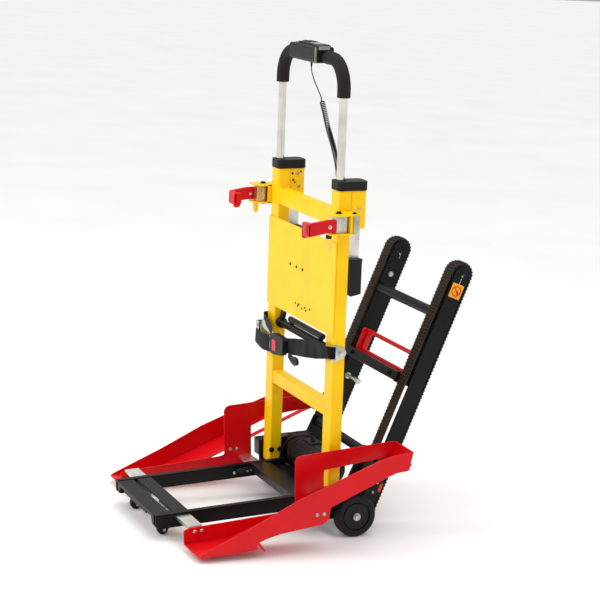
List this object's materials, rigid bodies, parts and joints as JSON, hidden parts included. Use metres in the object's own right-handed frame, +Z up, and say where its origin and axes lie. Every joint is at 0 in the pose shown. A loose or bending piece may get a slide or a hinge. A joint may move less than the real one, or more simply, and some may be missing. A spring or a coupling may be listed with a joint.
{
  "type": "stair climbing trolley",
  "caption": "Powered stair-climbing hand truck: yellow column frame, rubber crawler tracks, red sliding wheel cradles, clamp hooks, lap belt and telescoping padded handle.",
  "frame": {"origin": "floor level, midway between the front edge of the wheel cradles and the rear of the track unit, on the middle plane", "axes": "+X to the right-hand side, -Y towards the loading side, +Z up"},
  "size_m": [0.72, 0.8634, 1.2928],
  "materials": {
    "yellow_paint": "gloss powder coat",
    "red_paint": "gloss powder coat",
    "black_paint": "semi-gloss powder coat",
    "stainless": "satin",
    "zinc": "zinc plated",
    "black_plastic": "fine grain",
    "foam": "matte closed-cell foam",
    "track_rubber": "matte",
    "tyre_rubber": "matte",
    "webbing": "woven"
  },
  "bodies": {
    "chassis": {"base_frame": "black_paint", "wheel_guard_left": "black_paint", "wheel_guard_right": "black_paint", "upright_left": "yellow_paint", "upright_right": "yellow_paint", "cap_left": "black_plastic", "cap_right": "black_plastic", "cross_upper": "yellow_paint", "cross_lower": "yellow_paint", "front_panel": "yellow_paint", "cross_tube": "black_paint", "clamp_bracket_left": "yellow_paint", "clamp_bracket_right": "yellow_paint", "belt_retractor": "zinc", "belt_web_left": "webbing", "belt_web_right": "webbing", "belt_anchor": "zinc", "belt_buckle": "black_plastic", "wheel_axle": "zinc", "drive_motor": "black_paint", "cord_coil": "black_plastic"},
    "handle": {"handle_tube": "stainless", "foam_grip_left": "foam", "foam_grip_right": "foam", "control_box": "black_plastic", "cord_lead": "black_plastic"},
    "rocker": {"rocker_switch": "black_plastic"},
    "button": {"belt_button": "red_paint"},
    "track_unit": {"track_frame_left": "black_paint", "track_frame_right": "black_paint", "track_foot_left": "black_paint", "track_foot_right": "black_paint", "track_belt_left": "track_rubber", "track_belt_right": "track_rubber", "track_tube_upper": "black_paint", "track_tube_lower": "black_paint", "track_cross_bar": "black_paint"},
    "loop": {"release_loop": "red_paint"},
    "pin": {"pull_pin": "zinc"},
    "roller_left": {"front_roller_left": "black_plastic"},
    "wheel_left": {"rear_wheel_left": "tyre_rubber"},
    "cradle_left": {"cradle_left": "red_paint", "front_slide_left": "stainless", "rear_slide_left": "stainless"},
    "hook_left": {"clamp_hook_left": "red_paint"},
    "plunger_left": {"clamp_plunger_left": "yellow_paint"},
    "rear_grip_left": {"rear_grip_left": "black_plastic"},
    "drive_left": {"drive_pulley_left": "black_plastic"},
    "idler_left": {"idler_pulley_left": "black_plastic"},
    "roller_right": {"front_roller_right": "black_plastic"},
    "wheel_right": {"rear_wheel_right": "tyre_rubber"},
    "cradle_right": {"cradle_right": "red_paint", "front_slide_right": "stainless", "rear_slide_right": "stainless"},
    "hook_right": {"clamp_hook_right": "red_paint"},
    "plunger_right": {"clamp_plunger_right": "yellow_paint"},
    "rear_grip_right": {"rear_grip_right": "black_plastic"},
    "drive_right": {"drive_pulley_right": "black_plastic"},
    "idler_right": {"idler_pulley_right": "black_plastic"}
  },
  "joints": [
    {"name": "handle_telescope", "type": "slide", "parent": "chassis", "child": "handle", "axis": [0, -0.0224, 0.9997], "range_m": [-0.11, 0.11], "deforming": ["cord_coil"]},
    {"name": "rocker_tilt", "type": "hinge", "parent": "handle", "child": "rocker", "pos_m": [-0.035, 0.02021, 1.28605], "axis": [1, 0, 0], "range_deg": [-5, 5], "stiffness_Nm_per_rad": 0.2},
    {"name": "buckle_press", "type": "slide", "parent": "chassis", "child": "button", "axis": [0, 0.9997, 0.0224], "range_m": [0, 0.003], "stiffness_N_per_m": 400, "springref_m": -0.001},
    {"name": "track_fold", "type": "hinge", "parent": "chassis", "child": "track_unit", "pos_m": [0, 0.10095, 0.057], "axis": [1, 0, 0], "range_deg": [0, 15]},
    {"name": "loop_pull", "type": "hinge", "parent": "track_unit", "child": "loop", "pos_m": [0, 0.30723, 0.46216], "axis": [1, 0, 0], "range_deg": [0, 22], "stiffness_Nm_per_rad": 4, "springref_deg": -6.88},
    {"name": "pin_pull", "type": "slide", "parent": "track_unit", "child": "pin", "axis": [1, 0, 0], "range_m": [0, 0.012], "stiffness_N_per_m": 800, "springref_m": -0.003},
    {"name": "roller_spin_left", "type": "hinge", "parent": "chassis", "child": "roller_left", "pos_m": [-0.11, -0.39141, 0.015], "axis": [1, 0, 0], "continuous": true},
    {"name": "wheel_spin_left", "type": "hinge", "parent": "chassis", "child": "wheel_left", "pos_m": [-0.2485, 0.10095, 0.057], "axis": [1, 0, 0], "continuous": true},
    {"name": "cradle_slide_left", "type": "slide", "parent": "chassis", "child": "cradle_left", "axis": [-1, 0, 0], "range_m": [-0.02, 0.06]},
    {"name": "hook_swing_left", "type": "hinge", "parent": "chassis", "child": "hook_left", "pos_m": [-0.255, -0.00098, 0.84816], "axis": [0, -0.0224, 0.9997], "range_deg": [-90, 0]},
    {"name": "plunger_pull_left", "type": "slide", "parent": "chassis", "child": "plunger_left", "axis": [0, 0.0224, -0.9997], "range_m": [0, 0.008], "stiffness_N_per_m": 900, "springref_m": -0.003},
    {"name": "rear_grip_slide_left", "type": "slide", "parent": "chassis", "child": "rear_grip_left", "axis": [0, -0.0224, 0.9997], "range_m": [-0.019, 0.051]},
    {"name": "drive_spin_left", "type": "hinge", "parent": "track_unit", "child": "drive_left", "pos_m": [-0.185, 0.15016, 0.05543], "axis": [1, 0, 0], "continuous": true},
    {"name": "idler_spin_left", "type": "hinge", "parent": "track_unit", "child": "idler_left", "pos_m": [-0.185, 0.39693, 0.69444], "axis": [1, 0, 0], "continuous": true},
    {"name": "roller_spin_right", "type": "hinge", "parent": "chassis", "child": "roller_right", "pos_m": [0.11, -0.39141, 0.015], "axis": [1, 0, 0], "continuous": true},
    {"name": "wheel_spin_right", "type": "hinge", "parent": "chassis", "child": "wheel_right", "pos_m": [0.2485, 0.10095, 0.057], "axis": [1, 0, 0], "continuous": true},
    {"name": "cradle_slide_right", "type": "slide", "parent": "chassis", "child": "cradle_right", "axis": [1, 0, 0], "range_m": [-0.02, 0.06]},
    {"name": "hook_swing_right", "type": "hinge", "parent": "chassis", "child": "hook_right", "pos_m": [0.255, -0.00098, 0.84816], "axis": [0, -0.0224, 0.9997], "range_deg": [0, 90]},
    {"name": "plunger_pull_right", "type": "slide", "parent": "chassis", "child": "plunger_right", "axis": [0, 0.0224, -0.9997], "range_m": [0, 0.008], "stiffness_N_per_m": 900, "springref_m": -0.003},
    {"name": "rear_grip_slide_right", "type": "slide", "parent": "chassis", "child": "rear_grip_right", "axis": [0, -0.0224, 0.9997], "range_m": [0, 0.07]},
    {"name": "drive_spin_right", "type": "hinge", "parent": "track_unit", "child": "drive_right", "pos_m": [0.185, 0.15016, 0.05543], "axis": [1, 0, 0], "continuous": true},
    {"name": "idler_spin_right", "type": "hinge", "parent": "track_unit", "child": "idler_right", "pos_m": [0.185, 0.39693, 0.69444], "axis": [1, 0, 0], "continuous": true}
  ],
  "couplings": [
    {"joint": "idler_spin_left", "follows": "drive_spin_left", "ratio": 1},
    {"joint": "drive_spin_right", "follows": "drive_spin_left", "ratio": 1},
    {"joint": "idler_spin_right", "follows": "drive_spin_left", "ratio": 1}
  ]
}
